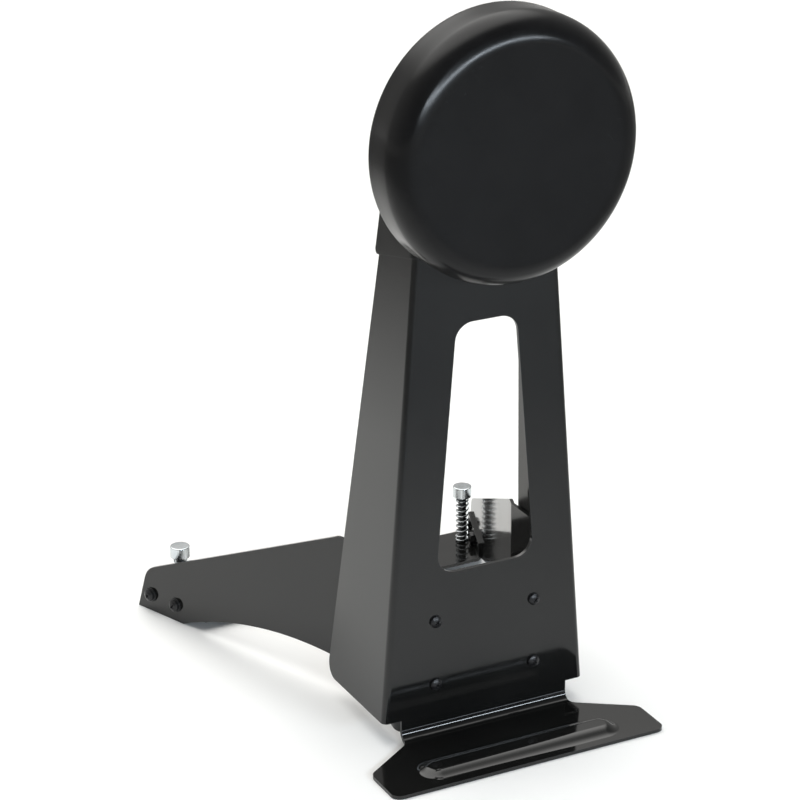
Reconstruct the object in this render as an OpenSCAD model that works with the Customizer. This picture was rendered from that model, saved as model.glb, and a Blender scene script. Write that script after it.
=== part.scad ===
/* [Tower] */
// Height of the folded tower above the floor
tower_h = 430; // [400:1:450]
// Width of the tower face at its lowest edge
tower_w_low = 144; // [140:1:150]
// Width of the tower face at its top
tower_w_top = 80; // [76:1:84]
// Height of the face's lower corners and of the flanges' lower edge
tower_foot_z = 15; // [13:0.5:18]
// Depth of the side flanges at their lower edge
flange_depth_low = 81; // [76:1:86]
// Depth of the side flanges at the top
flange_depth_top = 31; // [28:1:34]
// Thickness of every folded steel sheet
sheet_t = 2.3; // [2:0.1:2.6]

/* [Window] */
// Height of the window's lower edge
window_low_z = 110.5; // [106:0.5:115]
// Height of the window's upper edge
window_top_z = 273.5; // [260:0.5:280]
// Width of the window along its lower edge
window_w_low = 68.6; // [60:0.2:72]
// Width of the window along its upper edge
window_w_top = 41.4; // [36:0.2:46]
// Corner radius of the window
window_r = 12; // [8:0.5:14]

/* [Pedal plate] */
// Half width of the neck between tower and pedal plate
neck_half_w = 59.3; // [56:0.1:61]
// Width of the pedal plate
plate_w = 192; // [184:1:200]
// How far the pedal plate reaches in front of the face
plate_front = 63.5; // [62:0.5:66]
// Inside radius of the bend between face and pedal plate
floor_bend_r = 6; // [5:0.5:7]
// Height of the stamped bead above the plate
bead_h = 4; // [3:0.5:4.5]
// Overall length of the bead
bead_length = 142; // [130:1:150]
// Overall width of the bead
bead_w = 26; // [24:1:27]
// How far the bead's centre line lies in front of the face
bead_front = 45; // [44.5:0.5:46]

/* [Legs] */
// Angle that each leg splays outwards from straight back
splay = 20.64; // [19:0.01:21]
// Distance from the middle to each leg's outer rear corner
leg_rear_x = 132.07; // [131:0.01:134]
// Distance from the tower's face back to each leg's outer rear corner
leg_rear_y = 260.26; // [258:0.01:264]
// Height of the legs where they meet the tower
leg_h = 110.9; // [108:0.1:112]
// Length of each leg's foot on the floor
foot_length = 52; // [48:0.5:54]
// Radius of the arch under each leg
arch_r = 298; // [290:1:310]
// Height of the crown of the arch
arch_h = 25.2; // [22:0.2:28]

/* [Floor anchors] */
// Diameter of the anchor screws' shanks
anchor_d = 6; // [6:0.1:6]
// Diameter of the anchor screws' round heads
anchor_head_d = 13.4; // [12:0.1:14]
// Height of the anchor screws' heads
anchor_head_h = 8.2; // [7:0.1:9]
// Height of the heads' tops with the screws raised
anchor_top_z = 50.7; // [49:0.1:52]
// Outside diameter of the anchor springs
spring_d = 9.6; // [9.4:0.1:10]
// Wire diameter of the anchor springs
spring_wire = 1.3; // [1.1:0.1:1.4]
// Number of turns of the anchor springs
spring_turns = 9.5; // [8.5:0.5:10.5]

/* [Pad] */
// Height of the pad's centre above the floor
pad_z = 387; // [380:1:390]
// Diameter of the rubber pad
pad_d = 164.6; // [160:0.2:168]
// How far the pad's striking face stands in front of the tower
pad_front = 44.5; // [43:0.5:46]
// How far the pad's back stands in front of the tower
pad_back = 7; // [6.5:0.5:7.5]
// Radius round the edge of the striking face
pad_edge_r = 18; // [14:1:20]

/* [Hidden] */
$fn = 64;
eps = 0.01;

// Colours of the real finishes
steel_black = "#26272a";
screw_black = "#1b1b1d";
rubber_black = "#2d2e30";
chrome_grey = "#c3c8cc";

// Tower
taper = atan((tower_w_low - tower_w_top) / 2 / (tower_h - tower_foot_z));
corner_r = 1.7;
flange_slope = (flange_depth_low - flange_depth_top) / (tower_h - tower_foot_z);

// Cross plate and feet
cross_top_z = 7.5;
cross_low_z = cross_top_z - sheet_t;
cross_front_y = 203;
cross_back_y = 251;
cross_flange_z = 19;
cross_bend_r = 0.5;
cross_ear_s = 6.5;
leg_nut_h = 2.7;
leg_screw_z = 12.2;
leg_washer_h = 1;
leg_screw_s = [13.4, 38.2];

// Forward stretch of the legs, inside the tower
leg_side_x = 61.6;
tab_inner_x = 24;
tab_low_z = 20;
tab_top_z = 98;
leg_bend_r = 3;
leg_bend_y = leg_rear_y - (leg_rear_x - leg_side_x) / tan(splay);
leg_bend_s = (leg_rear_y - leg_bend_y) / cos(splay);
arch_crown_s = 165;

// Fasteners
face_screw_x = 35;
face_screw_z = [35.5, 79];
bracket_screw_y = 20;
bracket_screw_z = [352, 398];
head_screw_x = 24;
head_screw_dz = 20;

// Floor anchors
anchor_x = 109.8;
anchor_y = 235.2;
anchor_under_head_z = anchor_top_z - anchor_head_h;
spring_washer_h = 0.9;
spring_top_z = anchor_under_head_z - spring_washer_h;
anchor_tip_z = 0.6;
anchor_nut_h = 4;

// Head
bracket_gap = 0.1;
bracket_low_z = 319.5;
bracket_low_slope = 0.23;
bracket_extra_depth = 1.5;
cover_front_t = 6;
cover_side_t = 4;
cover_lip_t = 2;
foam_t = 12;
sensor_plate_t = 2;
sensor_plate_y = pad_front - cover_front_t - foam_t;
shell_floor_y = pad_back + cover_lip_t;
shell_t = 4;
jack_dz = -27;
jack_bore_r = 3.25;
jack_bush_r = 4.75;
jack_mouth_y = 9;
jack_depth = 20.4;

// The origin is midway along the object: its front is the pedal plate, its back the legs' ends
rear_y = leg_rear_y + sheet_t * sin(splay);
origin_y = (rear_y - plate_front) / 2;

// ---------- functions ----------

function unit(v) = v / norm(v);
function turned_left(v) = [-v[1], v[0]];
function cross_2d(a, b) = a[0] * b[1] - a[1] * b[0];
function reversed(list) = [for (i = [len(list) - 1:-1:0]) list[i]];

// Points of the arc of radius r that rounds corner b on the way from a to c
function corner_arc(a, b, c, r, steps = 8) =
    let (u = unit(a - b), w = unit(c - b), half = acos(u * w) / 2)
    r == 0 || half > 89.5 ? [b] :
    let (centre = b + unit(u + w) * r / sin(half),
         from = b + u * r / tan(half) - centre,
         to = b + w * r / tan(half) - centre,
         sweep = atan2(cross_2d(from, to), from * to),
         start = atan2(from[1], from[0]))
    [for (i = [0:steps]) centre + r * [cos(start + sweep * i / steps), sin(start + sweep * i / steps)]];

// A closed outline with each corner rounded to its radius
function rounded(points, radii) =
    let (n = len(points))
    [for (i = [0:n - 1]) each corner_arc(points[(i + n - 1) % n], points[i], points[(i + 1) % n], radii[i])];

// A path moved d to its left, with mitred corners
function moved_left(path, d) =
    [for (i = [0:len(path) - 1])
        let (last = len(path) - 2,
             u = unit(path[max(i, 1)] - path[max(i, 1) - 1]),
             w = unit(path[min(i, last) + 1] - path[min(i, last)]))
        path[i] + d * (turned_left(u) + turned_left(w)) / (1 + u * w)];

// One face of a bent sheet: r is the radius of a bend whose inside is on this face
function bent_face(path, d, r, t) =
    let (n = len(path))
    [path[0],
     for (i = [1:n - 2])
        let (turn = cross_2d(path[i] - path[i - 1], path[i + 1] - path[i]),
             bend_r = turn * d > 0 ? r : r + t)
        each corner_arc(path[i - 1], path[i], path[i + 1], bend_r),
     path[n - 1]];

// Cross-section of a sheet bent along a path: the sheet lies d to the left of it (right if negative)
function bent_sheet(path, d, r) =
    concat(bent_face(path, -d, r, abs(d)), reversed(bent_face(moved_left(path, d), d, r, abs(d))));

function flange_depth(z) = flange_depth_low - flange_slope * (z - tower_foot_z);

// Height of the bead's underside at distance d from its spine
function bead_rise(d) = bead_h * pow(cos(90 * min(1, max(0, (d - 4) / (bead_w / 2 - 4)))), 2);

// Height of the spring's wire centre after a number of turns: a flat turn at each end
function spring_z(turn) =
    let (flat = spring_wire * 1.15,
         low = cross_top_z + spring_wire / 2,
         high = spring_top_z - spring_wire / 2,
         pitch = (high - low - 2 * flat) / (spring_turns - 2))
    turn < 1 ? low + flat * turn :
    turn > spring_turns - 1 ? high - flat * (spring_turns - turn) :
    low + flat + pitch * (turn - 1);

// ---------- shared shapes ----------

// Everything is drawn with the tower's face at y = 0 and moved to the row's origin here
module placed() {
    translate([0, -origin_y, 0]) children();
}

module both_sides() {
    children();
    mirror([1, 0, 0]) children();
}

// A shape drawn in (x, z) and given thickness t from y backwards
module upright(y, t) {
    translate([0, y + t, 0]) rotate([90, 0, 0]) linear_extrude(t) children();
}

// A shape drawn in (y, z) and given width w centred on x = 0
module sideways(w) {
    translate([-w / 2, 0, 0]) rotate([90, 0, 90]) linear_extrude(w) children();
}

// Local frame of the tower's right-hand slanted edge: x out of the flange, z up along the edge
module along_edge() {
    translate([tower_w_low / 2, 0, tower_foot_z]) rotate([0, -taper, 0]) children();
}

// Local frame of the right leg: x from its rear end towards the tower, y inwards, z up
module along_leg() {
    translate([leg_rear_x, leg_rear_y, 0]) rotate(270 - splay) mirror([0, 1, 0]) children();
}

// A hole of radius r through the sheets near y = 0, at (x, z)
module face_hole(x, z, r) {
    translate([x, 12, z]) rotate([90, 0, 0]) cylinder(r = r, h = 24);
}

// A cross-recessed pan-head screw: the head stands on z = 0, the shank points down
module pan_screw(d, length, head_d, head_h) {
    crown_r = head_d * 0.75;
    difference() {
        union() {
            intersection() {
                cylinder(d = head_d, h = head_h);
                translate([0, 0, head_h - crown_r]) sphere(r = crown_r);
            }
            translate([0, 0, -length]) cylinder(d = d, h = length + eps);
        }
        for (turn = [0, 90])
            rotate(turn) translate([-head_d * 0.27, -0.45, head_h * 0.45]) cube([head_d * 0.54, 0.9, head_h]);
    }
}

// A hexagonal nut on z = 0, with a bore that clears its screw
module hex_nut(flats, h, bore_r) {
    difference() {
        cylinder(d = flats / cos(30), h = h, $fn = 6);
        translate([0, 0, -1]) cylinder(r = bore_r, h = h + 2);
    }
}

// Local frames of the fasteners: z = 0 on the clamped sheet, z upwards on the side of the screw's head
module at_leg_screws() {
    both_sides() along_leg() for (s = leg_screw_s)
        translate([s, 0, leg_screw_z]) rotate([90, 0, 0]) children();
}

module at_bracket_screws() {
    both_sides() along_edge() for (z = bracket_screw_z)
        translate([0, bracket_screw_y, (z - tower_foot_z) / cos(taper)]) rotate([0, 90, 0]) children();
}

module at_face_screws() {
    for (x = [-face_screw_x, face_screw_x], z = face_screw_z)
        translate([x, 0, z]) rotate([90, 0, 0]) children();
}

module at_head_screws() {
    for (x = [-head_screw_x, head_screw_x], dz = [-head_screw_dz, head_screw_dz])
        translate([x, 0, pad_z + dz]) rotate([-90, 0, 0]) children();
}

// ---------- stand ----------

module face_outline() {
    inset = 8;
    low_x = tower_w_low / 2 - inset;
    top_x = tower_w_top / 2 - inset;
    polygon([[-neck_half_w, -1], [neck_half_w, -1], [neck_half_w, tower_foot_z], [low_x, tower_foot_z],
             [top_x, tower_h], [-top_x, tower_h], [-low_x, tower_foot_z], [-neck_half_w, tower_foot_z]]);
}

module window_outline() {
    low = window_w_low / 2;
    top = window_w_top / 2;
    polygon(rounded([[-low, window_low_z], [low, window_low_z], [top, window_top_z], [-top, window_top_z]],
                    [window_r, window_r, window_r, window_r]));
}

module plate_outline() {
    half_w = plate_w / 2;
    flare_y = -6.5;
    side_y = -31;
    back_y = sheet_t + 1;
    polygon(rounded([[-neck_half_w, back_y], [-neck_half_w, flare_y],
                     [-half_w, side_y], [-half_w, -plate_front],
                     [half_w, -plate_front], [half_w, side_y],
                     [neck_half_w, flare_y], [neck_half_w, back_y]],
                    [0, 8, 7, 6, 6, 7, 8, 0]));
}

// Side view of the sheet that runs down the face, round the bend and forward along the floor
module face_and_plate_section() {
    path = [[sheet_t, tower_h], [sheet_t, 0], [-plate_front - 1, 0]];
    polygon(bent_sheet(path, -sheet_t, floor_bend_r));
}

module flange_outline() {
    polygon(rounded([[-9, tower_foot_z], [flange_depth_low, tower_foot_z],
                     [flange_depth_top, tower_h], [-9, tower_h]], [0, 10, 4, 0]));
}

// Right-hand fold of the tower: a strip of the face, the bend and the side flange
module tower_fold() {
    path = [[-22, 0], [0, 0], [0, flange_depth_low + 5]];
    along_edge() translate([0, 0, -20])
        linear_extrude(tower_h + 20) polygon(bent_sheet(path, sheet_t, corner_r));
}

// Half section of the bead between its spine and its foot
module bead_half_section() {
    steps = 14;
    foot = bead_w / 2;
    polygon([for (i = [0:steps]) [foot * i / steps, bead_rise(foot * i / steps) + sheet_t],
             for (i = [steps:-1:0]) [foot * i / steps, bead_rise(foot * i / steps)]]);
}

module bead() {
    end_x = (bead_length - bead_w) / 2;
    translate([0, -bead_front, 0]) {
        for (side = [-1, 1])
            translate([side * end_x, 0, 0]) rotate(-90 * side)
                rotate_extrude(angle = 180) bead_half_section();
        for (turn = [0, 180])
            rotate(turn) translate([-end_x, 0, 0]) rotate([90, 0, 90])
                linear_extrude(2 * end_x) bead_half_section();
    }
}

module bead_opening() {
    end_x = (bead_length - bead_w) / 2;
    translate([0, -bead_front, -1]) linear_extrude(sheet_t + 2) {
        for (side = [-1, 1]) translate([side * end_x, 0]) circle(d = bead_w);
        square([2 * end_x, bead_w], center = true);
    }
}

module folded_tower() {
    intersection() {
        sideways(plate_w + 2) face_and_plate_section();
        union() {
            upright(-1, sheet_t + 2) face_outline();
            translate([0, 0, -1]) linear_extrude(floor_bend_r + sheet_t + 1) plate_outline();
        }
    }
    intersection() {
        both_sides() tower_fold();
        sideways(tower_w_low + 20) flange_outline();
    }
}

module stand_frame() {
    color(steel_black) placed() {
        difference() {
            folded_tower();
            bead_opening();
            upright(-5, 15) window_outline();
            at_face_screws() translate([0, 0, -12]) cylinder(r = 2.25, h = 24);
            at_head_screws() translate([0, 0, -12]) cylinder(r = 2.75, h = 24);
            face_hole(0, pad_z + jack_dz, jack_bush_r + 0.25);
            at_bracket_screws() translate([0, 0, -8]) cylinder(r = 2.75, h = 16);
        }
        bead();
    }
}

// Side view of the splayed stretch: x runs along the leg from its rear end
module leg_outline() {
    back_corner = [9.66, 30.95];
    top_slope = 0.437;
    level_s = back_corner[0] + (leg_h - back_corner[1]) / top_slope;
    end_s = leg_bend_s + 30;
    step_s = foot_length + 19;
    difference() {
        polygon(rounded([[0, 0], [end_s, 0], [end_s, leg_h], [level_s, leg_h], back_corner],
                        [0, 0, 0, 12, 17]));
        translate([arch_crown_s, arch_h - arch_r]) circle(r = arch_r, $fn = 180);
        polygon([[foot_length, 0], [step_s, 10], [step_s + 20, 8], [step_s + 20, -1], [foot_length, -1]]);
    }
}

// Side view of the stretch inside the tower: x is the distance behind the face
module leg_front_outline() {
    difference() {
        polygon(rounded([[-1, 0], [leg_bend_y, 0], [leg_bend_y, leg_h], [-1, leg_h]], [0, 0, 0, 12]));
        translate([leg_bend_y + leg_bend_s - arch_crown_s, arch_h - arch_r]) circle(r = arch_r, $fn = 180);
    }
}

// Plan of the right leg: splayed stretch, stretch along the tower's side and tab behind the face
module leg_plan() {
    path = [[leg_rear_x, leg_rear_y], [leg_side_x, leg_bend_y], [leg_side_x, sheet_t],
            [tab_inner_x, sheet_t]];
    polygon(bent_sheet(path, -sheet_t, leg_bend_r));
}

module leg_tab_outline() {
    outer_x = leg_side_x - 9;
    polygon(rounded([[tab_inner_x - 1, tab_low_z], [outer_x, tab_low_z], [outer_x, tab_top_z],
                     [tab_inner_x - 1, tab_top_z]], [5, 0, 0, 5]));
}

module leg() {
    difference() {
        intersection() {
            linear_extrude(leg_h) leg_plan();
            union() {
                intersection() {
                    along_leg() translate([0, 20, 0]) rotate([90, 0, 0]) linear_extrude(40) leg_outline();
                    translate([0, leg_bend_y, -1]) cube([200, 300, 200]);
                }
                translate([leg_side_x + 1, 0, 0]) sideways(20) leg_front_outline();
                upright(0, 10) leg_tab_outline();
            }
        }
        at_leg_screws() translate([0, 0, -10]) cylinder(r = 2.75, h = 20);
        at_face_screws() translate([0, 0, -12]) cylinder(r = 2.25, h = 24);
    }
}

module right_leg() {
    color(steel_black) placed() leg();
}

module left_leg() {
    color(steel_black) placed() mirror([1, 0, 0]) leg();
}

// A corner profile (distance inwards from the right leg, height) swept along that leg
module along_right_leg(corner, r) {
    far = [leg_rear_x * 3, cross_flange_z];
    along_leg() translate([-40, 0, 0]) rotate([90, 0, 90]) linear_extrude(280)
        polygon(rounded([corner, [far[0], corner[1]], far, [corner[0], far[1]]], [r, 0, 0, 0]));
}

// A shape and its mirror image, where they overlap
module where_both_meet() {
    intersection() {
        children();
        mirror([1, 0, 0]) children();
    }
}

// Plate with a flange turned up against each leg; the flanges run on past the plate's rear edge
module rear_cross_plate() {
    wide = 3 * leg_rear_x;
    color(steel_black) placed() difference() {
        where_both_meet() along_right_leg([sheet_t, cross_low_z], cross_bend_r + sheet_t);
        translate([0, 0, eps]) where_both_meet()
            along_right_leg([2 * sheet_t, cross_top_z - eps], cross_bend_r);
        translate([-wide / 2, cross_front_y - wide, -1]) cube([wide, wide, 100]);
        translate([-wide / 2, cross_back_y, -1]) cube([wide, wide, cross_top_z + 3]);
        both_sides() along_leg() translate([cross_ear_s - 60, -10, -1]) cube([60, 60, 100]);
        at_leg_screws() translate([0, 0, -10]) cylinder(r = 2.75, h = 20);
        at_anchors() cylinder(r = anchor_d / 2 + 0.3, h = 50);
    }
}

// ---------- head ----------

module bracket_outline() {
    foot_y = flange_depth(bracket_low_z) + bracket_extra_depth;
    top_y = flange_depth(tower_h) + bracket_extra_depth;
    low_z = bracket_low_z - bracket_low_slope * foot_y;
    polygon(rounded([[-9, bracket_low_z], [0, bracket_low_z], [foot_y + 1, low_z],
                     [top_y, tower_h], [-9, tower_h]],
                    [0, 0, 3, 6, 0]));
}

// Right-hand fold of the bracket: it wraps the tower's fold from outside
module bracket_fold() {
    outside = bracket_gap + sheet_t;
    path = [[-22, -sheet_t], [outside, -sheet_t], [outside, flange_depth_low]];
    along_edge() translate([0, 0, 200]) linear_extrude(tower_h) polygon(bent_sheet(path, sheet_t, corner_r));
}

module head_bracket() {
    function face_half_w(z) = tower_w_low / 2 - (z - tower_foot_z) * tan(taper) - 8;
    low = face_half_w(bracket_low_z);
    top = face_half_w(tower_h);
    color(steel_black) placed() difference() {
        union() {
            upright(-sheet_t, sheet_t)
                polygon([[-low, bracket_low_z], [low, bracket_low_z], [top, tower_h], [-top, tower_h]]);
            intersection() {
                both_sides() bracket_fold();
                sideways(tower_w_low + 20) bracket_outline();
            }
        }
        at_head_screws() translate([0, 0, -12]) cylinder(r = 2.75, h = 24);
        face_hole(0, pad_z + jack_dz, jack_bush_r + 0.25);
        at_bracket_screws() translate([0, 0, -8]) cylinder(r = 2.75, h = 16);
    }
}

// A body of revolution about the pad's axis: its outline is (radius, distance in front of the face)
module turned() {
    translate([0, 0, pad_z]) rotate([90, 0, 0]) rotate_extrude() children();
}

module pad_cover() {
    radius = pad_d / 2;
    inner = radius - cover_side_t;
    lip_r = inner - 5;
    inside = pad_front - cover_front_t;
    color(rubber_black) placed() turned()
        polygon(rounded([[0, pad_front], [radius, pad_front], [radius, pad_back], [lip_r, pad_back],
                         [lip_r, shell_floor_y], [inner, shell_floor_y], [inner, inside], [0, inside]],
                        [0, pad_edge_r, 1.5, 0, 0, 0, pad_edge_r - 5, 0]));
}

module pad_foam() {
    radius = pad_d / 2 - cover_side_t - 0.8;
    front = pad_front - cover_front_t - 0.1;
    color("#6d6f73") placed() turned()
        polygon(rounded([[0, front], [radius, front], [radius, sensor_plate_y], [0, sensor_plate_y]],
                        [0, pad_edge_r - 6, 0, 0]));
}

module sensor_plate() {
    color("#a9adb1") placed() turned()
        translate([0, sensor_plate_y - sensor_plate_t])
            square([pad_d / 2 - cover_side_t - 1, sensor_plate_t]);
}

module piezo_sensor() {
    back = sensor_plate_y - sensor_plate_t;
    color("#c8a24a") placed() turned() {
        translate([0, back - 0.3]) square([13.5, 0.3]);
        translate([0, back - 0.6]) square([10, 0.4]);
    }
}

module isolation_ring() {
    low = shell_floor_y + shell_t;
    color("#3b3d40") placed() turned()
        translate([46, low]) square([30, sensor_plate_y - sensor_plate_t - low]);
}

module back_shell() {
    radius = pad_d / 2 - cover_side_t - 0.2;
    boss_r = 42;
    color("#222326") placed() difference() {
        turned() polygon([[0, sheet_t], [boss_r, sheet_t],
                          [boss_r + 2, shell_floor_y], [radius, shell_floor_y],
                          [radius, shell_floor_y + shell_t], [0, shell_floor_y + shell_t]]);
        translate([0, 0, pad_z + jack_dz]) rotate([90, 0, 0]) cylinder(r = 9, h = 30);
        at_head_screws() translate([0, 0, -20]) cylinder(r = 2.52, h = 40);
    }
}

// Jack for a quarter-inch plug, its mouth facing back between the tower's flanges
module output_jack() {
    body_front = sheet_t + jack_depth;
    color("#1c1c1e") placed() translate([0, 0, pad_z + jack_dz]) rotate([90, 0, 0]) difference() {
        union() {
            translate([0, 0, sheet_t]) cylinder(r = 8.5, h = jack_depth);
            translate([0, 0, -jack_mouth_y]) cylinder(r = jack_bush_r, h = jack_mouth_y + sheet_t + 1);
        }
        translate([0, 0, -jack_mouth_y - 1]) cylinder(r = jack_bore_r, h = jack_mouth_y + body_front - 1);
    }
}

module jack_nut() {
    color(chrome_grey) placed() translate([0, sheet_t, pad_z + jack_dz]) rotate([-90, 0, 0])
        hex_nut(14, 3, jack_bush_r + 0.02);
}

// Point at share t along the cubic curve with control points p
function curve_point(p, t) =
    pow(1 - t, 3) * p[0] + 3 * t * pow(1 - t, 2) * p[1] + 3 * t * t * (1 - t) * p[2] + pow(t, 3) * p[3];

// The sensor's two-core lead: from the piezo disc to the side of the jack
module sensor_lead() {
    back = sensor_plate_y - sensor_plate_t;
    control = [[6, -back + 1.2, pad_z - 2], [14, -back + 2, pad_z - 6], [22, -15, pad_z - 20],
               [9.4, -16, pad_z + jack_dz]];
    color("#8f2f2a") placed()
        tube([for (i = [0:12]) curve_point(control, i / 12)], 0.6, 8, [1, 0, 0]);
}

// A round wire swept along points; side is a direction that the wire never runs in
module tube(points, r, sides, side) {
    last = len(points) - 1;
    ring_points = [for (i = [0:last])
        let (along = unit(points[min(i + 1, last)] - points[max(i - 1, 0)]),
             u = unit(cross(along, side)),
             v = cross(along, u))
        each [for (j = [0:sides - 1]) points[i] + r * (cos(360 * j / sides) * u + sin(360 * j / sides) * v)]];
    walls = [for (i = [0:last - 1], j = [0:sides - 1])
        let (a = i * sides + j, b = i * sides + (j + 1) % sides)
        [a, b, b + sides, a + sides]];
    ends = [[for (j = [sides - 1:-1:0]) j], [for (j = [0:sides - 1]) last * sides + j]];
    polyhedron(ring_points, [for (f = concat(walls, ends)) reversed(f)], convexity = 10);
}

// ---------- fasteners ----------

module face_screws() {
    color(screw_black) placed() at_face_screws() pan_screw(4, 9, 7.8, 2.8);
}

module face_nuts() {
    color(screw_black) placed() at_face_screws() translate([0, 0, -2 * sheet_t - 3.2]) hex_nut(7, 3.2, 2.02);
}

module leg_screws() {
    color(screw_black) placed() at_leg_screws() translate([0, 0, leg_washer_h]) pan_screw(5, 9.2, 8.4, 3.3);
}

module leg_washers() {
    color(screw_black) placed() at_leg_screws() difference() {
        cylinder(d = 10.2, h = leg_washer_h);
        translate([0, 0, -1]) cylinder(r = 2.65, h = leg_washer_h + 2);
    }
}

module leg_nuts() {
    color(screw_black) placed() at_leg_screws()
        translate([0, 0, -2 * sheet_t - leg_nut_h]) hex_nut(8, leg_nut_h, 2.52);
}

module bracket_screws() {
    color(screw_black) placed() at_bracket_screws()
        translate([0, 0, bracket_gap + sheet_t]) pan_screw(5, 10, 8.4, 3.3);
}

module bracket_nuts() {
    color(screw_black) placed() at_bracket_screws() translate([0, 0, -sheet_t - 4]) hex_nut(8, 4, 2.52);
}

module head_screws() {
    color(screw_black) placed() at_head_screws() translate([0, 0, sheet_t]) pan_screw(5, 12, 8.4, 3.3);
}

// ---------- floor anchors ----------

module at_anchor(side) {
    translate([side * anchor_x, anchor_y, 0]) children();
}

module at_anchors() {
    for (side = [-1, 1]) at_anchor(side) children();
}

// Screw with a plain round head and a pointed tip that bites into carpet when it is turned down
module anchor_screw() {
    r = anchor_d / 2;
    head_r = anchor_head_d / 2;
    rotate_extrude() polygon([[0, anchor_tip_z], [0.5, anchor_tip_z], [r, anchor_tip_z + 3.4],
        [r, anchor_under_head_z], [head_r - 0.4, anchor_under_head_z], [head_r, anchor_under_head_z + 0.4],
        [head_r, anchor_top_z - 0.6], [head_r - 0.6, anchor_top_z], [0, anchor_top_z]]);
}

module anchor_spring() {
    per_turn = 14;
    radius = (spring_d - spring_wire) / 2;
    steps = round(spring_turns * per_turn);
    tube([for (i = [0:steps])
             let (turn = i / per_turn)
             [radius * cos(360 * turn), radius * sin(360 * turn), spring_z(turn)]],
         spring_wire / 2, 6, [0, 0, 1]);
}

module spring_washer() {
    translate([0, 0, spring_top_z]) difference() {
        cylinder(d = spring_d, h = spring_washer_h);
        translate([0, 0, -1]) cylinder(r = anchor_d / 2 + 0.15, h = spring_washer_h + 2);
    }
}

module left_anchor_screw() {
    color(chrome_grey) placed() at_anchor(-1) anchor_screw();
}

module right_anchor_screw() {
    color(chrome_grey) placed() at_anchor(1) anchor_screw();
}

module left_anchor_spring() {
    color(chrome_grey) placed() at_anchor(-1) anchor_spring();
}

module right_anchor_spring() {
    color(chrome_grey) placed() at_anchor(1) anchor_spring();
}

module left_spring_washer() {
    color(chrome_grey) placed() at_anchor(-1) spring_washer();
}

module right_spring_washer() {
    color(chrome_grey) placed() at_anchor(1) spring_washer();
}

module anchor_nuts() {
    color(chrome_grey) placed() at_anchors()
        translate([0, 0, cross_low_z - anchor_nut_h]) hex_nut(10, anchor_nut_h, anchor_d / 2 + 0.04);
}

stand_frame();
left_leg();
right_leg();
rear_cross_plate();
head_bracket();
pad_cover();
pad_foam();
sensor_plate();
piezo_sensor();
isolation_ring();
back_shell();
output_jack();
jack_nut();
sensor_lead();
face_screws();
face_nuts();
leg_screws();
leg_washers();
leg_nuts();
bracket_screws();
bracket_nuts();
head_screws();
left_anchor_screw();
right_anchor_screw();
left_anchor_spring();
right_anchor_spring();
left_spring_washer();
right_spring_washer();
anchor_nuts();
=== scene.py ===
"""The looks of the bass drum kick pad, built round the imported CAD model. Everything is in metres."""
import math

import bmesh
import bpy
from mathutils import Matrix, Vector, noise


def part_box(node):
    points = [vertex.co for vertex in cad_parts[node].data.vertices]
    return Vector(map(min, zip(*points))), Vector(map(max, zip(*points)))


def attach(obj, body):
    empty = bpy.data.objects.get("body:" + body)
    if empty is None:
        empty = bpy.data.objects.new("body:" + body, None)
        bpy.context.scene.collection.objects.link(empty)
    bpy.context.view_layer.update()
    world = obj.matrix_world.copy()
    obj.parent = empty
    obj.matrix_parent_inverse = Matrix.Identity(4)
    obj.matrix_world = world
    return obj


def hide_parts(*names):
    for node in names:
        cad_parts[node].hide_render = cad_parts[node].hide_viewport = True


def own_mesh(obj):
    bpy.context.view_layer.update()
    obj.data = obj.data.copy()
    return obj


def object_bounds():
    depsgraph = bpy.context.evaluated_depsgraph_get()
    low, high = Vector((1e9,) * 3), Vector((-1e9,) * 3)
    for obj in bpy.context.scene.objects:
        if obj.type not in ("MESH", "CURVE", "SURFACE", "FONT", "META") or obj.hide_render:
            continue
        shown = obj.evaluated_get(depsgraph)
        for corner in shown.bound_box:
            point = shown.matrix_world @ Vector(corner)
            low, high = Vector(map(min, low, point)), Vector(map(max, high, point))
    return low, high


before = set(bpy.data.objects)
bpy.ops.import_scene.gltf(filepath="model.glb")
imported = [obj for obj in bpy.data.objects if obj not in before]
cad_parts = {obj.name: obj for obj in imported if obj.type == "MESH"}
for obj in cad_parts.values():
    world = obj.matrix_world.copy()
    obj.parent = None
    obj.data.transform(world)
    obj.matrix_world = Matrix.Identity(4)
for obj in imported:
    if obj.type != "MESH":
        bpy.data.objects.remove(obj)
cad_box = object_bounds()

# ---------------------------------------------------------------- sizes

MM = 0.001
AZIMUTH = math.radians(-26.84)
ELEVATION = math.radians(21.79)
ROLL = math.radians(-0.37)
DISTANCE = 1.632
LENS = 122.9
SENSOR = 36.0

M4 = dict(shank=2.0, pitch=0.7, head=3.9, head_h=2.8)
M5 = dict(shank=2.5, pitch=0.8, head=4.2, head_h=3.3)
M6 = dict(shank=3.0, pitch=1.0)

PAPER_WHITE = (0.92, 0.92, 0.91)
DAYLIGHT = (1.0, 0.99, 0.965, 1)
ROOM_SHADES = (-0.8, 0.5, 0.08, 0.48)
OVERHEAD_TOWARD = (0, 0.39, 0.92)
OVERHEAD_SHADES = (0.68, 0.92, 0.0, 2.55)
STRIP_PLACE = (0.25, -2.5, 0.95)
STRIP_SIZE = (2.6, 0.20)
STRIP_WATTS = 50
STRIP_COLOUR = (0.82, 0.91, 1.0)
FLOOR_SIZE = (14, 14)
FLOOR_GAP = 0.0002
BACKDROP_RADIUS, BACKDROP_HEIGHT = 6.8, 12
SURROUND_CENTRE = (-0.12, 0.25, 0.0015)
SURROUND_SIZE = (8, 8)
SURROUND_COVER = (0.30, 0.95, 0.0, 0.85)
CAMERA_AIM = Vector((-0.05889, -0.09879, 0.23188))


# ---------------------------------------------------------------- mesh helpers

def add(name, data):
    """A new object in the scene."""
    piece = bpy.data.objects.new(name, data)
    bpy.context.scene.collection.objects.link(piece)
    return piece


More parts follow.
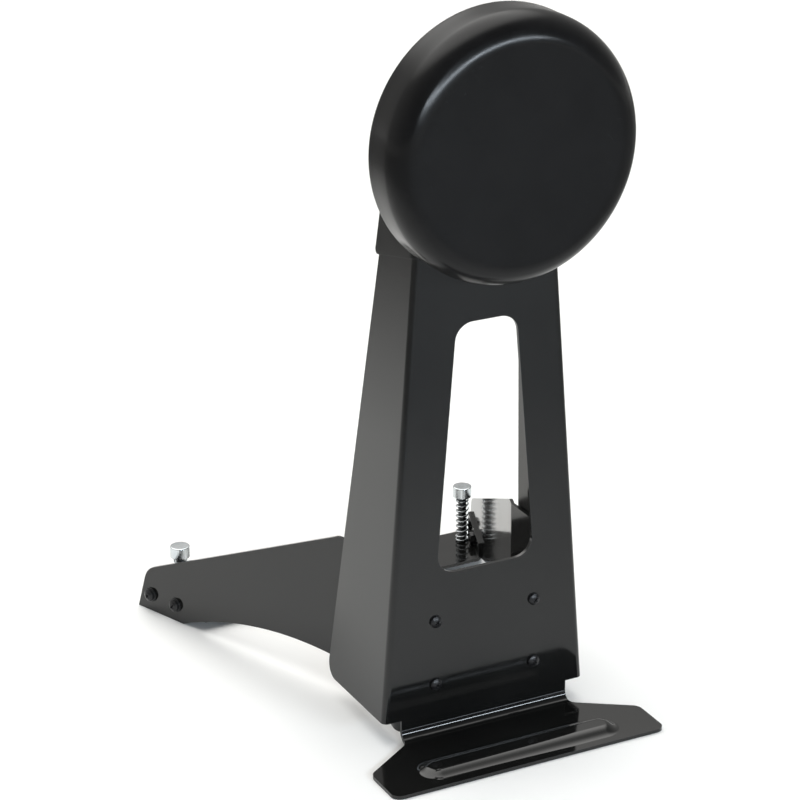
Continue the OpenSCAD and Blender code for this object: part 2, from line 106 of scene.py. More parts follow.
def mesh_piece(name, bm, node, material, body="stand"):
    """A new object from a bmesh: it hides a node in its place, takes a material and rides on a body."""
    bmesh.ops.recalc_face_normals(bm, faces=bm.faces)
    mesh = bpy.data.meshes.new(name)
    bm.to_mesh(mesh)
    bm.free()
    for polygon in mesh.polygons:
        polygon.use_smooth = True
    mesh.materials.append(material)
    piece = add(name, mesh)
    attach(piece, body)
    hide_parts(node)
    return piece


def keep_creases(piece, degrees=32):
    """Edges sharper than this angle stay crisp; the rest is smooth."""
    mesh = piece.data
    bm = bmesh.new()
    bm.from_mesh(mesh)
    for edge in bm.edges:
        if len(edge.link_faces) == 2 and edge.calc_face_angle(0) > math.radians(degrees):
            edge.smooth = False
    bm.to_mesh(mesh)
    bm.free()


def revolve(bm, rings, steps, place, closed=False, radial=None):
    """Adds a surface of revolution: rings are (radius, height), place puts it in the row frame.

    radial(radius, height, turn) may change a point's radius and height.
    closed joins the last ring to the first.
    """
    rows = []
    for radius, height in rings:
        if radius < 1e-7:
            rows.append([bm.verts.new(place @ Vector((0, 0, height)))])
            continue
        row = []
        for step in range(steps):
            turn = step / steps
            r, h = radial(radius, height, turn) if radial else (radius, height)
            angle = 2 * math.pi * turn
            row.append(bm.verts.new(place @ Vector((r * math.cos(angle), r * math.sin(angle), h))))
        rows.append(row)
    pairs = list(zip(rows, rows[1:]))
    if closed:
        pairs.append((rows[-1], rows[0]))
    for low, high in pairs:
        for step in range(steps):
            after = (step + 1) % steps
            corners = [low[step % len(low)], low[after % len(low)],
                       high[after % len(high)], high[step % len(high)]]
            distinct = list(dict.fromkeys(corners))
            if len(distinct) > 2:
                bm.faces.new(distinct)


def arc(centre, radius, start, end, steps):
    """Points of an arc in a profile's plane, from one angle to another in degrees."""
    turns = [math.radians(start + (end - start) * i / steps) for i in range(steps + 1)]
    return [(centre[0] + radius * math.cos(t), centre[1] + radius * math.sin(t)) for t in turns]


def solids(node):
    """The vertices of each separate solid of a CAD node, as lists of vectors."""
    bm = bmesh.new()
    bm.from_mesh(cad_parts[node].data)
    bmesh.ops.remove_doubles(bm, verts=bm.verts, dist=1e-6)
    left = set(bm.verts)
    found = []
    while left:
        seed = left.pop()
        island, todo = [seed], [seed]
        while todo:
            for edge in todo.pop().link_edges:
                for vert in edge.verts:
                    if vert in left:
                        left.remove(vert)
                        island.append(vert)
                        todo.append(vert)
        found.append([v.co.copy() for v in island])
    bm.free()
    return found


def middle(points):
    low = Vector([min(p[i] for p in points) for i in range(3)])
    high = Vector([max(p[i] for p in points) for i in range(3)])
    return (low + high) / 2


def seat(points, outward):
    """(matrix, length): the matrix puts z = 0 at a solid's inner end, on its axis, with +Z outward."""
    z = outward.normalized()
    x = z.orthogonal().normalized()
    y = z.cross(x)
    spans = [(min(p.dot(a) for p in points), max(p.dot(a) for p in points)) for a in (x, y, z)]
    origin = x * sum(spans[0]) / 2 + y * sum(spans[1]) / 2 + z * spans[2][0]
    turn = Matrix((x, y, z)).transposed().to_4x4()
    return Matrix.Translation(origin) @ turn, spans[2][1] - spans[2][0]


def seats(node, outward):
    """The seat of each solid of a node; outward(middle) gives the direction of its head."""
    return [seat(points, outward(middle(points))) for points in solids(node)]


def across_pair(node, plane):
    """Direction out of the sheet that a pair of fasteners on each side is screwed through.

    plane holds the two axes that the direction lies in; the pair's own line is along the sheet.
    """
    centres = [middle(points) for points in solids(node)]
    right = sorted((c for c in centres if c.x > 0), key=lambda c: c[plane[1]])
    along = right[1] - right[0]
    out = Vector((0, 0, 0))
    out[plane[0]], out[plane[1]] = along[plane[1]], -along[plane[0]]
    out = out if out.x > 0 else -out

    def direction(centre):
        return Vector((math.copysign(out.x, centre.x), out.y, out.z))
    return direction


def thread(shank, pitch, length, tip=0.6, base=0.0):
    """Rings and a radial function of a threaded shank, from its free end at z = base upwards."""
    depth = pitch * 0.32
    rows = max(4, round(length / pitch * 5))
    rings = [(0.0, base)] + [(shank, base + length * i / rows) for i in range(rows + 1)]
    rings.append((0.0, base + length))

    def radial(radius, height, turn):
        wave = abs(((height / pitch - turn) % 1.0) * 2 - 1)
        entry = min(1.0, (height - base) / tip)
        return (radius - depth * (1 - wave)) * (0.72 + 0.28 * entry), height
    return rings, radial


# ---------------------------------------------------------------- fasteners

def cross_head(bm, place, head, head_h):
    """A pan head with a cross recess, its underside on z = 0."""
    arm, half_w, depth = head * 0.5, 0.11 * head + 0.1, head_h * 0.55
    crown = head * 1.55

    def top(r):
        return head_h - crown + math.sqrt(crown * crown - r * r)

    def radial(radius, height, turn):
        if height < head_h * 0.7 or radius > head * 0.8:
            return radius, height
        x = abs(radius * math.cos(2 * math.pi * turn))
        y = abs(radius * math.sin(2 * math.pi * turn))
        long, short = max(x, y), min(x, y)
        across = (half_w * (1 - 0.35 * long / arm) - short) / 0.16
        along = (arm - long) / 0.2
        sink = max(0.0, min(1.0, across)) * max(0.0, min(1.0, along))
        return radius, height - depth * sink * sink * (3 - 2 * sink)

    edge = head - 0.35
    count = 22
    rings = [(0.0, 0.0), (head - 0.2, 0.0), (head, 0.2), (head, top(edge) - 0.35)]
    rings += arc((edge, top(edge) - 0.35), 0.35, 15, 75, 3)
    rings += [(edge * (1 - i / count), top(edge * (1 - i / count))) for i in range(count)]
    rings.append((0.0, head_h - depth))
    revolve(bm, rings, 80, place, radial=radial)


def screw_set(node, outward, size):
    """Cross-recessed screws with threaded shanks, in place of a node of plain ones."""
    bm = bmesh.new()
    for place, length in seats(node, outward):
        shank = length / MM - size["head_h"]
        scaled = place @ Matrix.Scale(MM, 4)
        rings, radial = thread(size["shank"], size["pitch"], shank)
        revolve(bm, rings, 24, scaled, radial=radial)
        cross_head(bm, scaled @ Matrix.Translation((0, 0, shank)), size["head"], size["head_h"])
    piece = mesh_piece(node + "_detailed", bm, node=node, material=black_oxide)
    keep_creases(piece, 40)
    return piece


def hex_nut(bm, place, flats, height, bore):
    """A nut with both faces chamfered, and its bore countersunk."""
    side = flats / 2
    chamfer_r = side * 0.96
    steps = 72

    def radial(radius, height_, turn):
        if radius < side:
            return radius, height_
        angle = (turn * 360) % 60 - 30
        corner = side / math.cos(math.radians(angle))
        drop = (corner - chamfer_r) * 0.55
        low = height_ < height / 2
        return corner, drop if low else height - drop

    rings = [(bore, 0.35), (bore + 0.35, 0.0), (chamfer_r, 0.0), (side + 0.01, 0.0),
             (side + 0.01, height), (chamfer_r, height), (bore + 0.35, height), (bore, height - 0.35)]
    revolve(bm, rings, steps, place @ Matrix.Rotation(math.radians(30), 4, "Z"), closed=True, radial=radial)


def nut_set(node, outward, flats, bore, material):
    bm = bmesh.new()
    for place, length in seats(node, outward):
        hex_nut(bm, place @ Matrix.Scale(MM, 4), flats, length / MM, bore)
    piece = mesh_piece(node + "_chamfered", bm, node=node, material=material)
    keep_creases(piece, 25)
    return piece


def washer(bm, place, bore, radius, height, edge=0.15):
    rings = [(bore, edge), (bore + edge, 0), (radius - edge, 0), (radius, edge),
             (radius, height - edge), (radius - edge, height), (bore + edge, height), (bore, height - edge)]
    revolve(bm, rings, 64, place, closed=True)


# ---------------------------------------------------------------- floor anchors

def knurled_head(bm, place, radius, height):
    """A round head with a fine straight knurl round its side and a flat turned top."""
    teeth, knurl = 44, 0.13

    def radial(r, h, turn):
        if r < radius - 0.01 or not 0.9 < h < height - 0.9:
            return r, h
        return r - knurl * (0.5 + 0.5 * math.cos(2 * math.pi * teeth * turn)), h

    rings = [(0.0, 0.0), (radius - 0.5, 0.0), (radius, 0.5), (radius, 0.95), (radius, 1.1)]
    rings += [(radius, height - 1.1), (radius, height - 0.95), (radius, height - 0.6)]
    rings += arc((radius - 0.6, height - 0.6), 0.6, 15, 90, 5)
    rings += [(radius * share, height) for share in (0.8, 0.6, 0.4, 0.2)]
    rings.append((0.0, height))
    revolve(bm, rings, teeth * 4, place, radial=radial)


def anchor_screw(side):
    """Threaded anchor with a pointed end and a knurled head."""
    low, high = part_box(side + "_anchor_screw")
    axis = Vector(((low.x + high.x) / 2, (low.y + high.y) / 2, low.z))
    place = Matrix.Translation(axis) @ Matrix.Scale(MM, 4)
    radius = (high.x - low.x) / 2 / MM
    under_head = (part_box(side + "_spring_washer")[1].z - low.z) / MM
    total = (high.z - low.z) / MM
    bm = bmesh.new()
    knurled_head(bm, place @ Matrix.Translation((0, 0, under_head)), radius, total - under_head)
    point = 3.4
    rings, radial = thread(M6["shank"], M6["pitch"], under_head - point, tip=0.01, base=point)
    rings = [(0.0, 0.0), (0.45, 0.0), (M6["shank"] * 0.9, point)] + rings[1:]

    def pointed(r, h, turn):
        return (r, h) if h < point + 0.05 else radial(r, h, turn)
    revolve(bm, rings, 26, place, radial=pointed)
    piece = mesh_piece(side + "_anchor_knurled", bm, node=side + "_anchor_screw",
                       material=chrome, body=side + "_anchor")
    piece.data.materials.append(oiled_thread)
    for polygon in piece.data.polygons:
        if polygon.center.z < low.z + (under_head - 0.05) * MM:
            polygon.material_index = 1
    keep_creases(piece, 50)


def spring_height(turn, turns, wire, low, high):
    """Height of the wire's centre: an almost flat turn at each end and an even pitch between them."""
    flat = wire * 1.15
    pitch = (high - low - wire - 2 * flat) / (turns - 2)
    if turn < 1:
        return low + wire / 2 + flat * turn
    if turn > turns - 1:
        return high - wire / 2 - flat * (turns - turn)
    return low + wire / 2 + flat + pitch * (turn - 1)


def anchor_spring(side):
    """Coil spring of round wire, with an almost flat turn at each end."""
    turns, wire, per_turn, sides = 9.5, 1.3 * MM, 36, 12
    low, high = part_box(side + "_anchor_spring")
    radius = (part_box(side + "_spring_washer")[1].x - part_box(side + "_spring_washer")[0].x) / 2 - wire / 2
    axis = Vector(((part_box(side + "_anchor_screw")[0].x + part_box(side + "_anchor_screw")[1].x) / 2,
                   (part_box(side + "_anchor_screw")[0].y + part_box(side + "_anchor_screw")[1].y) / 2, 0))
    steps = round(turns * per_turn)
    bm = bmesh.new()
    rows = []
    for step in range(steps + 1):
        turn = step / per_turn
        angle = 2 * math.pi * turn
        out = Vector((math.cos(angle), math.sin(angle), 0))
        centre = axis + out * radius + Vector((0, 0, spring_height(turn, turns, wire, low.z, high.z)))
        row = []
        for k in range(sides):
            a = 2 * math.pi * k / sides
            row.append(bm.verts.new(centre + (out * math.cos(a) + Vector((0, 0, math.sin(a)))) * wire / 2))
        rows.append(row)
    for first, second in zip(rows, rows[1:]):
        for k in range(sides):
            bm.faces.new((first[k], first[(k + 1) % sides], second[(k + 1) % sides], second[k]))
    bm.faces.new(rows[0])
    bm.faces.new(rows[-1])
    piece = mesh_piece(side + "_spring_wire", bm, node=side + "_anchor_spring",
                       material=chrome)
    keep_creases(piece, 60)
    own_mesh(piece)


def spring_washer(side):
    bm = bmesh.new()
    place, length = seat(solids(side + "_spring_washer")[0], Vector((0, 0, 1)))
    washer(bm, place @ Matrix.Scale(MM, 4), 3.15, 4.8, length / MM, 0.18)
    mesh_piece(side + "_spring_washer_turned", bm, node=side + "_spring_washer",
               material=chrome, body=side + "_anchor_carrier")


# ---------------------------------------------------------------- pad

def pad_axis():
    """Matrix of the pad: z = 0 on its back, +Z towards the player."""
    low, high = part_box("pad_cover")
    origin = Vector(((low.x + high.x) / 2, high.y, (low.z + high.z) / 2))
    return Matrix.Translation(origin) @ Matrix.Rotation(math.radians(90), 4, "X") @ Matrix.Scale(MM, 4)


def rubber_pad():
    """Moulded rubber cover: a faintly crowned face, a full round edge, a waisted side and a rolled lip."""
    low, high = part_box("pad_cover")
    radius = (high.z - low.z) / 2 / MM
    depth = (high.y - low.y) / MM
    edge, wall, front = 18.0, 4.0, 6.0
    face_r = radius - edge
    crown = 0.45
    rings = [(0.0, depth)]
    rings += [(face_r * i / 16, depth - crown * (i / 16) ** 2) for i in range(1, 16)]
    rings += arc((face_r, depth - edge - crown), edge, 90, 6, 22)
    rings += [(radius - 0.05, depth - edge - 4), (radius - 0.12, 9), (radius - 0.05, 5), (radius, 3.4)]
    rings += arc((radius - 1.6, 1.6), 1.6, 0, -90, 6)
    lip = radius - wall - 5
    rings += [(radius - 3, 0.0), (lip + 1.0, 0.0), (lip + 0.3, 0.25), (lip, 1.0), (lip + 0.2, 1.9),
              (radius - wall - 0.5, 2.1), (radius - wall, 3.0), (radius - wall, depth - edge),
              (radius - wall - 9, depth - front - 2), (face_r, depth - front - 0.6),
              (0.0, depth - front - 0.5)]

    def soft(r, h, turn):
        angle = 2 * math.pi * turn
        sample = Vector((r * math.cos(angle), r * math.sin(angle), h)) * 0.022
        swell = noise.noise(sample + Vector((3.1, 7.7, 1.9)))
        return r * (1 + 0.0012 * swell), h + 0.10 * swell - (0.10 if h > depth - crown - 2 else 0.0)

    bm = bmesh.new()
    revolve(bm, rings, 144, pad_axis(), radial=soft)
    piece = mesh_piece("rubber_pad", bm, node="pad_cover", material=rubber)
    smooth = piece.modifiers.new("smooth", "SUBSURF")
    smooth.levels = smooth.render_levels = 1
    return piece


def soft_disc(name, node, bore, material):
    """Foam disc or ring: cut edges slightly rounded, the faces pressed in a little by what holds them."""
    low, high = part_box(node)
    radius = (high.z - low.z) / 2 / MM
    depth = (high.y - low.y) / MM
    place = pad_axis() @ Matrix.Translation((0, 0, (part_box("pad_cover")[1].y - high.y) / MM))
    edge = 1.2
    outer = arc((radius - edge, edge), edge, -90, 0, 4) + arc((radius - edge, depth - edge), edge, 0, 90, 4)
    spokes = [radius - edge - (radius - edge - bore) * i / 10 for i in range(1, 10)]
    front = [(r, depth) for r in spokes]
    back = [(r, 0.0) for r in reversed(spokes)]

    def uneven(r, h, turn):
        angle = 2 * math.pi * turn
        swell = noise.noise(Vector((r * math.cos(angle), r * math.sin(angle), h)) * 0.08)
        return r - 0.15 * abs(swell), h + (0.12 * swell - 0.12 if h > depth / 2 else 0.12 + 0.12 * swell)
    bm = bmesh.new()
    if bore:
        inner = [(bore + edge * 0.3, depth), (bore, depth - edge), (bore, edge), (bore + edge * 0.3, 0.0)]
        revolve(bm, outer + front + inner + back, 96, place, closed=True, radial=uneven)
    else:
        revolve(bm, [(0.0, 0.0)] + back + outer + front + [(0.0, depth)], 96, place, radial=uneven)
    piece = mesh_piece(name, bm, node=node, material=material)


def piezo():
    """Brass disc with its ceramic and two solder dots, on the back of the sensor plate."""
    low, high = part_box("piezo_sensor")
    radius = (high.z - low.z) / 2 / MM
    place = pad_axis() @ Matrix.Translation((0, 0, (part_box("pad_cover")[1].y - high.y) / MM))
    total = (high.y - low.y) / MM
    bm = bmesh.new()
    disc_low = total - 0.3
    disc = [(0, disc_low), (radius - 0.05, disc_low), (radius, disc_low + 0.1), (radius, total), (0, total)]
    revolve(bm, disc, 72, place)
    revolve(bm, [(0, 0.05), (9.6, 0.05), (9.8, 0.15), (9.8, disc_low), (0, disc_low)], 64, place)
    for x, y in ((6.0, -2.0), (11.5, -3.0)):
        dot = place @ Matrix.Translation((x, y, 0.05))
        revolve(bm, [(0, 0.0), (0.7, 0.06), (1.0, 0.3), (0, 0.3)], 20, dot)
    piece = mesh_piece("piezo_disc", bm, node="piezo_sensor", material=brass)
    keep_creases(piece, 30)


def jack():
    """Quarter-inch jack: a threaded bush in front of a ribbed plastic body, bored for the plug."""
    low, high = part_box("output_jack")
    place, length = seat(solids("output_jack")[0], Vector((0, 1, 0)))
    place = place @ Matrix.Scale(MM, 4)
    total = length / MM
    body_r, bush_r, bore, bush = (high.x - low.x) / 2 / MM, 4.75, 3.25, 11.3
    step = total - bush
    depth_left = 1.0

    def ribbed(r, h, turn):
        if r > body_r - 0.05 and 2.0 < h < step - 2.0:
            return r - 0.25 * (0.5 + 0.5 * math.cos(2 * math.pi * 16 * turn)), h
        if abs(r - bush_r) < 0.01 and step + 0.8 < h < total - 0.5:
            return r - 0.28 * abs(((h / 0.75 - turn) % 1.0) * 2 - 1), h
        return r, h
    rows = round(bush / 0.15)
    rings = [(0.0, 0.0), (body_r - 0.8, 0.0), (body_r, 0.8), (body_r, 1.9), (body_r, 2.3)]
    rings += [(body_r, step - 2.3), (body_r, step - 1.9), (body_r, step - 0.5), (body_r - 0.5, step)]
    rings += [(bush_r + 0.3, step), (bush_r, step + 0.2)]
    rings += [(bush_r, step + 0.2 + (bush - 0.7) * i / rows) for i in range(1, rows + 1)]
    rings += [(bush_r - 0.4, total), (bore + 0.5, total), (bore, total - 0.5),
              (bore, depth_left), (0.0, depth_left)]
    bm = bmesh.new()
    revolve(bm, rings, 64, place, radial=ribbed)
    piece = mesh_piece("output_jack_threaded", bm, node="output_jack",
                       material=jack_plastic)
    keep_creases(piece, 45)


# ---------------------------------------------------------------- materials

class Nodes:
    """A small wrapper round a material's node tree."""

    def __init__(self, name):
        self.material = bpy.data.materials.new(name)
        self.material.use_nodes = True
        self.tree = self.material.node_tree
        self.shader = self.tree.nodes["Principled BSDF"]
        self.where = self.tree.nodes.new("ShaderNodeTexCoord").outputs["Object"]

    def link(self, out, into):
        self.tree.links.new(out, into)

    def noise(self, scale, detail=2.0, rough=0.5, stretch=None):
        node = self.tree.nodes.new("ShaderNodeTexNoise")
        node.inputs["Scale"].default_value = scale
        node.inputs["Detail"].default_value = detail
        node.inputs["Roughness"].default_value = rough
        where = self.where
        if stretch:
            mapping = self.tree.nodes.new("ShaderNodeMapping")
            mapping.inputs["Scale"].default_value = stretch
            self.link(where, mapping.inputs["Vector"])
            where = mapping.outputs["Vector"]
        self.link(where, node.inputs["Vector"])
        return node.outputs["Fac"]

    def ramp(self, fac, stops):
        node = self.tree.nodes.new("ShaderNodeValToRGB")
        elements = node.color_ramp.elements
        while len(elements) < len(stops):
            elements.new(0.5)
        for element, (place, value) in zip(elements, stops):
            element.position = place
            element.color = (*value, 1) if isinstance(value, tuple) else (value, value, value, 1)
        self.link(fac, node.inputs["Fac"])
        return node.outputs["Color"]

    def mix(self, fac, a, b):
        node = self.tree.nodes.new("ShaderNodeMix")
        node.data_type = "RGBA"
        self.link(fac, node.inputs[0])
        for value, socket in ((a, node.inputs[6]), (b, node.inputs[7])):
            if isinstance(value, tuple):
                socket.default_value = (*value, 1)
            else:
                self.link(value, socket)
        return node.outputs[2]

    def edges(self, radius, start, end):
        """1 on edges that are sharper than the surface round them, 0 elsewhere."""
        bevel = self.tree.nodes.new("ShaderNodeBevel")
        bevel.samples = 4
        bevel.inputs["Radius"].default_value = radius
        geometry = self.tree.nodes.new("ShaderNodeNewGeometry")
        dot = self.tree.nodes.new("ShaderNodeVectorMath")
        dot.operation = "DOT_PRODUCT"
        self.link(bevel.outputs["Normal"], dot.inputs[0])
        self.link(geometry.outputs["Normal"], dot.inputs[1])
        return self.ramp(dot.outputs["Value"], [(start, 1.0), (end, 0.0)])

    def bump(self, height, strength, distance, before=None):
        node = self.tree.nodes.new("ShaderNodeBump")
        node.inputs["Strength"].default_value = strength
        node.inputs["Distance"].default_value = distance
        self.link(height, node.inputs["Height"])
        if before:
            self.link(before, node.inputs["Normal"])
        return node.outputs["Normal"]

    def set(self, **values):
        for name, value in values.items():
            self.shader.inputs[name.replace("_", " ")].default_value = value

    def finish(self, colour=None, roughness=None, normal=None):
        for value, socket in ((colour, "Base Color"), (roughness, "Roughness"), (normal, "Normal")):
            if value is not None:
                self.link(value, self.shader.inputs[socket])
        return self.material


def painted_steel():
    """Glossy black enamel: faint orange peel, a little dust, and paler colour on the cut edges: a painted
    edge highlight over thinner paint.
    """
    m = Nodes("glossy_black_paint")
    cloud = m.ramp(m.noise(14, 3), [(0.3, (0.0058, 0.0059, 0.0058)), (0.7, (0.0090, 0.0091, 0.0087))])
    dust = m.ramp(m.noise(900, 2, 0.6), [(0.70, 0.0), (0.78, 1.0)])
    dusty = m.mix(dust, cloud, (0.03, 0.03, 0.029))
    # paler colour on the cut edges: a painted edge highlight, over thinner paint
    edge_sheen_and_wear = m.mix(m.edges(0.6 * MM, 0.80, 0.97), dusty, (0.045, 0.046, 0.047))
    roughness = m.ramp(m.noise(38, 4), [(0.3, 0.06), (0.7, 0.11)])
    peel = m.bump(m.noise(330, 1.5), 0.035, 0.05 * MM)
    fine = m.bump(m.noise(1700, 2), 0.04, 0.01 * MM, before=peel)
    m.set(IOR=1.5, Specular_IOR_Level=0.5)
    return m.finish(edge_sheen_and_wear, roughness, fine)


def oxide_black():
    """Black oxide of the screws: satin, with a painted highlight on the edges, where tools have also touched
    it.
    """
    m = Nodes("black_oxide")
    base = m.ramp(m.noise(500, 3), [(0.3, (0.010, 0.010, 0.011)), (0.7, (0.022, 0.022, 0.023))])
    # brighter colour on the edges: a painted highlight, with some tool wear
    edge_sheen_and_wear = m.mix(m.edges(0.25 * MM, 0.6, 0.95), base, (0.10, 0.10, 0.105))
    roughness = m.ramp(m.noise(700, 3), [(0.3, 0.26), (0.7, 0.40)])
    m.set(Metallic=0.35, IOR=1.5)
    return m.finish(edge_sheen_and_wear, roughness, m.bump(m.noise(2500, 2), 0.12, 0.02 * MM))


def bright_plating():
    """Bright nickel or chrome plating, with faint polishing haze and painted shade on its edges and creases.
    """
    m = Nodes("bright_plating")
    base = m.ramp(m.noise(160, 3), [(0.3, (0.60, 0.64, 0.66)), (0.7, (0.70, 0.73, 0.75))])
    # darker colour on edges and in creases, such as the knurl's: painted shade
    painted_edge_shade = m.mix(m.edges(0.3 * MM, 0.55, 0.9), base, (0.42, 0.45, 0.47))
    roughness = m.ramp(m.noise(420, 4), [(0.3, 0.10), (0.7, 0.18)])
    m.set(Metallic=1.0)
    return m.finish(painted_edge_shade, roughness, m.bump(m.noise(700, 1), 0.03, 0.01 * MM))


def pad_rubber():
    """Moulded rubber: satin black, a fine moulded grain and a slightly cloudy bloom."""
    m = Nodes("moulded_rubber")
    cloud = m.ramp(m.noise(22, 4, 0.6), [(0.3, (0.0045, 0.0045, 0.0047)), (0.75, (0.0075, 0.0075, 0.0077))])
    speck = m.ramp(m.noise(1300, 1, 0.4), [(0.74, 0.0), (0.80, 1.0)])
    colour = m.mix(speck, cloud, (0.018, 0.018, 0.019))
    roughness = m.ramp(m.noise(60, 4), [(0.3, 0.19), (0.7, 0.25)])
    grain = m.bump(m.noise(2600, 2, 0.6), 0.10, 0.02 * MM)
    swell = m.bump(m.noise(35, 2), 0.10, 0.5 * MM, before=grain)
    m.set(IOR=1.5, Specular_IOR_Level=0.27)
    return m.finish(colour, roughness, swell)


def plastic(name, dark, light, low_rough, high_rough, grain):
    m = Nodes(name)
    base = m.ramp(m.noise(90, 3), [(0.3, dark), (0.7, light)])
    roughness = m.ramp(m.noise(300, 3), [(0.3, low_rough), (0.7, high_rough)])
    return m.finish(base, roughness, m.bump(m.noise(grain, 2), 0.25, 0.04 * MM))


def foam(name, dark, light):
    """Open or closed cells: pits of about a millimetre, matt all over, with painted shade at the bottom of
    each pit.
    """
    m = Nodes(name)
    cells = m.tree.nodes.new("ShaderNodeTexVoronoi")
    cells.inputs["Scale"].default_value = 900
    m.link(m.where, cells.inputs["Vector"])
    # colour darker towards each pit's bottom: painted shade
    colour = m.ramp(cells.outputs["Distance"], [(0.1, dark), (0.6, light)])
    roughness = m.ramp(m.noise(200, 3), [(0.3, 0.85), (0.7, 0.98)])
    return m.finish(colour, roughness, m.bump(cells.outputs["Distance"], 0.6, 0.3 * MM))


def bare_metal(name, dark, light, stretch):
    m = Nodes(name)
    brushed = m.noise(60, 5, 0.7, stretch=stretch)
    roughness = m.ramp(brushed, [(0.3, 0.25), (0.7, 0.45)])
    m.set(Metallic=1.0)
    base = m.ramp(brushed, [(0.3, dark), (0.7, light)])
    return m.finish(base, roughness, m.bump(brushed, 0.1, 0.02 * MM))


paint = painted_steel()
black_oxide = oxide_black()
chrome = bright_plating()
rubber = pad_rubber()
shell_plastic = plastic("shell_plastic", (0.012, 0.012, 0.013), (0.02, 0.02, 0.021), 0.42, 0.55, 1500)
jack_plastic = plastic("jack_plastic", (0.010, 0.010, 0.011), (0.016, 0.016, 0.017), 0.3, 0.42, 2200)
lead_sheath = plastic("lead_sheath", (0.22, 0.015, 0.012), (0.32, 0.025, 0.02), 0.35, 0.5, 1800)
grey_foam = foam("grey_foam", (0.09, 0.09, 0.095), (0.2, 0.2, 0.21))
black_foam = foam("black_foam", (0.015, 0.015, 0.016), (0.05, 0.05, 0.053))
zinc_steel = bare_metal("zinc_steel", (0.42, 0.43, 0.45), (0.62, 0.63, 0.65), (1, 1, 12))
oiled_thread = bare_metal("oiled_thread", (0.09, 0.093, 0.097), (0.17, 0.175, 0.18), (1, 1, 1))
brass = bare_metal("brass", (0.62, 0.43, 0.17), (0.82, 0.62, 0.28), (1, 1, 1))


# ---------------------------------------------------------------- CAD nodes that stay

def dress(node, material, edge=None):
    """Gives a CAD node its finish and, on sheet metal, the small radius that its cut edges have."""
    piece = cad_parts[node]
    piece.data.materials.clear()
    piece.data.materials.append(material)
    if not edge:
        return
    weld = piece.modifiers.new("weld", "WELD")
    weld.merge_threshold = 1e-6
    flatten = piece.modifiers.new("flatten", "DECIMATE")
    flatten.decimate_type = "DISSOLVE"
    flatten.angle_limit = math.radians(0.4)
    bevel = piece.modifiers.new("edge", "BEVEL")
    bevel.width = edge
    bevel.segments = 3
    bevel.limit_method = "ANGLE"
    bevel.angle_limit = math.radians(40)
    bevel.harden_normals = False
    shade = piece.modifiers.new("shade", "WEIGHTED_NORMAL")
    shade.keep_sharp = False


for name in ("stand_frame", "left_leg", "right_leg", "rear_cross_plate", "head_bracket"):
    dress(name, paint, edge=0.3 * MM)
dress("back_shell", shell_plastic, edge=0.4 * MM)
dress("sensor_plate", zinc_steel, edge=0.2 * MM)
dress("sensor_lead", lead_sheath)

# ---------------------------------------------------------------- detailed pieces


def forward(_):
    return Vector((0, -1, 0))


def rearward(_):
    return Vector((0, 1, 0))


def upward(_):
    return Vector((0, 0, 1))


out_of_legs = across_pair("leg_screws", (0, 1))
out_of_folds = across_pair("bracket_screws", (0, 2))

screw_set("face_screws", forward, M4)
screw_set("leg_screws", out_of_legs, M5)
screw_set("bracket_screws", out_of_folds, M5)
screw_set("head_screws", rearward, M5)
nut_set("face_nuts", forward, 7, 2.02, black_oxide)
nut_set("leg_nuts", out_of_legs, 8, 2.52, black_oxide)
nut_set("bracket_nuts", out_of_folds, 8, 2.52, black_oxide)
nut_set("anchor_nuts", upward, 10, 3.04, chrome)
nut_set("jack_nut", rearward, 14, 4.77, chrome)

leg_washers = bmesh.new()
for place, length in seats("leg_washers", out_of_legs):
    washer(leg_washers, place @ Matrix.Scale(MM, 4), 2.65, 5.1, length / MM)
mesh_piece("leg_washers_turned", leg_washers, node="leg_washers",
           material=black_oxide)

for side in ("left", "right"):
    anchor_screw(side)
    anchor_spring(side)
    spring_washer(side)

rubber_pad()
soft_disc("foam_disc", "pad_foam", 0, grey_foam)
soft_disc("foam_ring", "isolation_ring", 46, black_foam)
piezo()
jack()


# ---------------------------------------------------------------- stage, light and camera

def plane(name, centre, size, material):
    mesh = bpy.data.meshes.new(name)
    x, y = size[0] / 2, size[1] / 2
    mesh.from_pydata([(-x, -y, 0), (x, -y, 0), (x, y, 0), (-x, y, 0)], [], [(0, 1, 2, 3)])
    mesh.materials.append(material)
    piece = add(name, mesh)
    piece.location = centre
    return piece


def paper():
    m = Nodes("studio_paper")
    base = m.ramp(m.noise(3, 2), [(0.3, PAPER_WHITE), (0.7, tuple(c * 1.01 for c in PAPER_WHITE))])
    roughness = m.ramp(m.noise(9, 2), [(0.3, 0.75), (0.7, 0.85)])
    return m.finish(base, roughness)


def map_range(tree, value, spans, interpolation="LINEAR"):
    """value's range spans[0]..spans[1] becomes spans[2]..spans[3]."""
    node = tree.nodes.new("ShaderNodeMapRange")
    node.interpolation_type = interpolation
    for name, number in zip(("From Min", "From Max", "To Min", "To Max"), spans):
        node.inputs[name].default_value = number
    tree.links.new(value, node.inputs["Value"])
    return node.outputs["Result"]


def backdrop(radius, height):
    """White studio wall far away all round, seen directly only, so low views don't pass the floor's end."""
    bm = bmesh.new()
    bmesh.ops.create_cone(bm, segments=96, radius1=radius, radius2=radius, depth=height)
    mesh = bpy.data.meshes.new("backdrop")
    bm.to_mesh(mesh)
    bm.free()
    m = Nodes("backdrop_white")
    m.set(Emission_Color=(1, 1, 1, 1), Emission_Strength=1.0)
    mesh.materials.append(m.finish(m.ramp(m.noise(1, 2), [(0.3, 0.9), (0.7, 0.92)])))
    wall = add("backdrop", mesh)
    wall.visible_shadow = wall.visible_diffuse = wall.visible_glossy = False


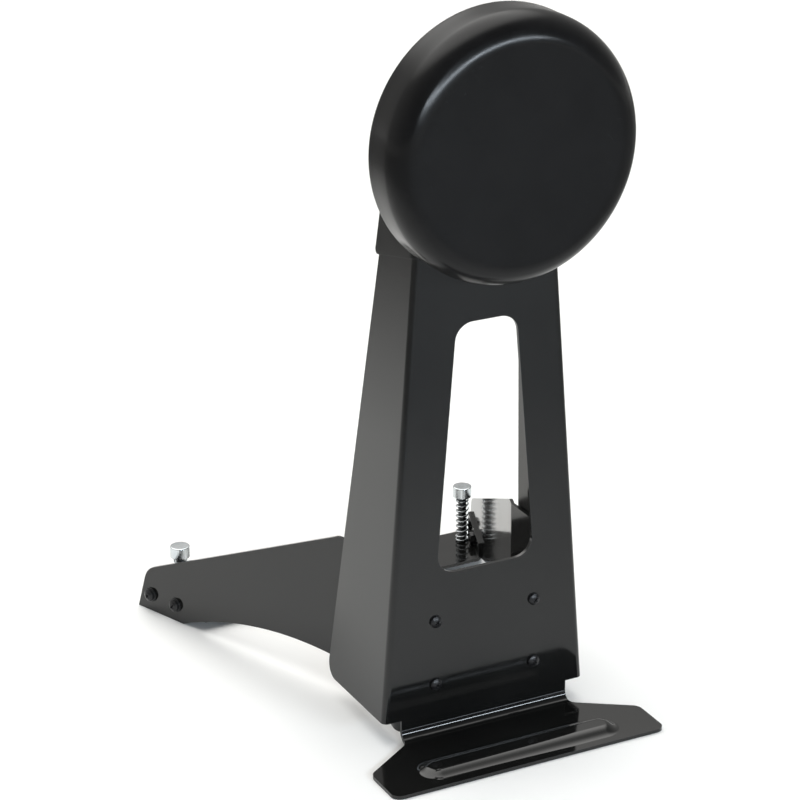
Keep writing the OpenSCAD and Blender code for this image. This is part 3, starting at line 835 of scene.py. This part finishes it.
def dark_surround():
    """The dark floor round the lit paper, seen only in the part's gloss: it sets in gradually."""
    m = Nodes("dark_surround")
    far = m.tree.nodes.new("ShaderNodeVectorMath")
    far.operation = "LENGTH"
    m.link(m.where, far.inputs[0])
    m.link(map_range(m.tree, far.outputs["Value"], SURROUND_COVER), m.shader.inputs["Alpha"])
    return m.finish(m.ramp(m.noise(40, 2), [(0.3, 0.05), (0.7, 0.06)]))


def studio_world():
    """A soft light overhead, a mid-grey room behind and a dark one in front."""
    world = bpy.data.worlds.new("studio")
    world.use_nodes = True
    tree = world.node_tree
    sky = tree.nodes.new("ShaderNodeTexCoord").outputs["Generated"]
    total = tree.nodes.new("ShaderNodeMath")
    for socket, toward, spans in ((0, (0, 1, 0), ROOM_SHADES), (1, OVERHEAD_TOWARD, OVERHEAD_SHADES)):
        dot = tree.nodes.new("ShaderNodeVectorMath")
        dot.operation = "DOT_PRODUCT"
        dot.inputs[1].default_value = toward
        tree.links.new(sky, dot.inputs[0])
        shade = map_range(tree, dot.outputs["Value"], spans, "SMOOTHSTEP")
        tree.links.new(shade, total.inputs[socket])
    background = tree.nodes["Background"]
    background.inputs["Color"].default_value = DAYLIGHT
    tree.links.new(total.outputs["Value"], background.inputs["Strength"])
    return world


def area_light(name, place, aim, size, power, colour):
    lamp = bpy.data.lights.new(name, "AREA")
    lamp.shape = "RECTANGLE"
    lamp.size, lamp.size_y = size
    lamp.energy = power
    lamp.color = colour
    holder = add(name, lamp)
    holder.location = place
    holder.rotation_mode = "QUATERNION"
    holder.rotation_quaternion = (Vector(aim) - Vector(place)).to_track_quat("-Z", "Y")
    holder.visible_camera = False
    return holder


plane("floor", (0, 0, cad_box[0].z - FLOOR_GAP), FLOOR_SIZE, paper())
backdrop(BACKDROP_RADIUS, BACKDROP_HEIGHT)
surround = plane("dark_surround", SURROUND_CENTRE, SURROUND_SIZE, dark_surround())
surround.visible_camera = surround.visible_shadow = surround.visible_diffuse = False

bpy.context.scene.world = studio_world()
middle_of_part = (cad_box[0] + cad_box[1]) / 2
area_light("strip", STRIP_PLACE, middle_of_part, STRIP_SIZE, STRIP_WATTS, STRIP_COLOUR)

camera_data = bpy.data.cameras.new("camera")
camera_data.lens = LENS
camera_data.sensor_width = SENSOR
camera = add("camera", camera_data)
bpy.context.scene.camera = camera
back = Vector((math.sin(AZIMUTH) * math.cos(ELEVATION), -math.cos(AZIMUTH) * math.cos(ELEVATION),
               math.sin(ELEVATION)))
camera.rotation_mode = "QUATERNION"
camera.location = CAMERA_AIM + back * DISTANCE
level = (-back).to_track_quat("-Z", "Y")
camera.rotation_quaternion = level @ Matrix.Rotation(ROLL, 3, "Z").to_quaternion()

bpy.context.scene.view_settings.view_transform = "Standard"
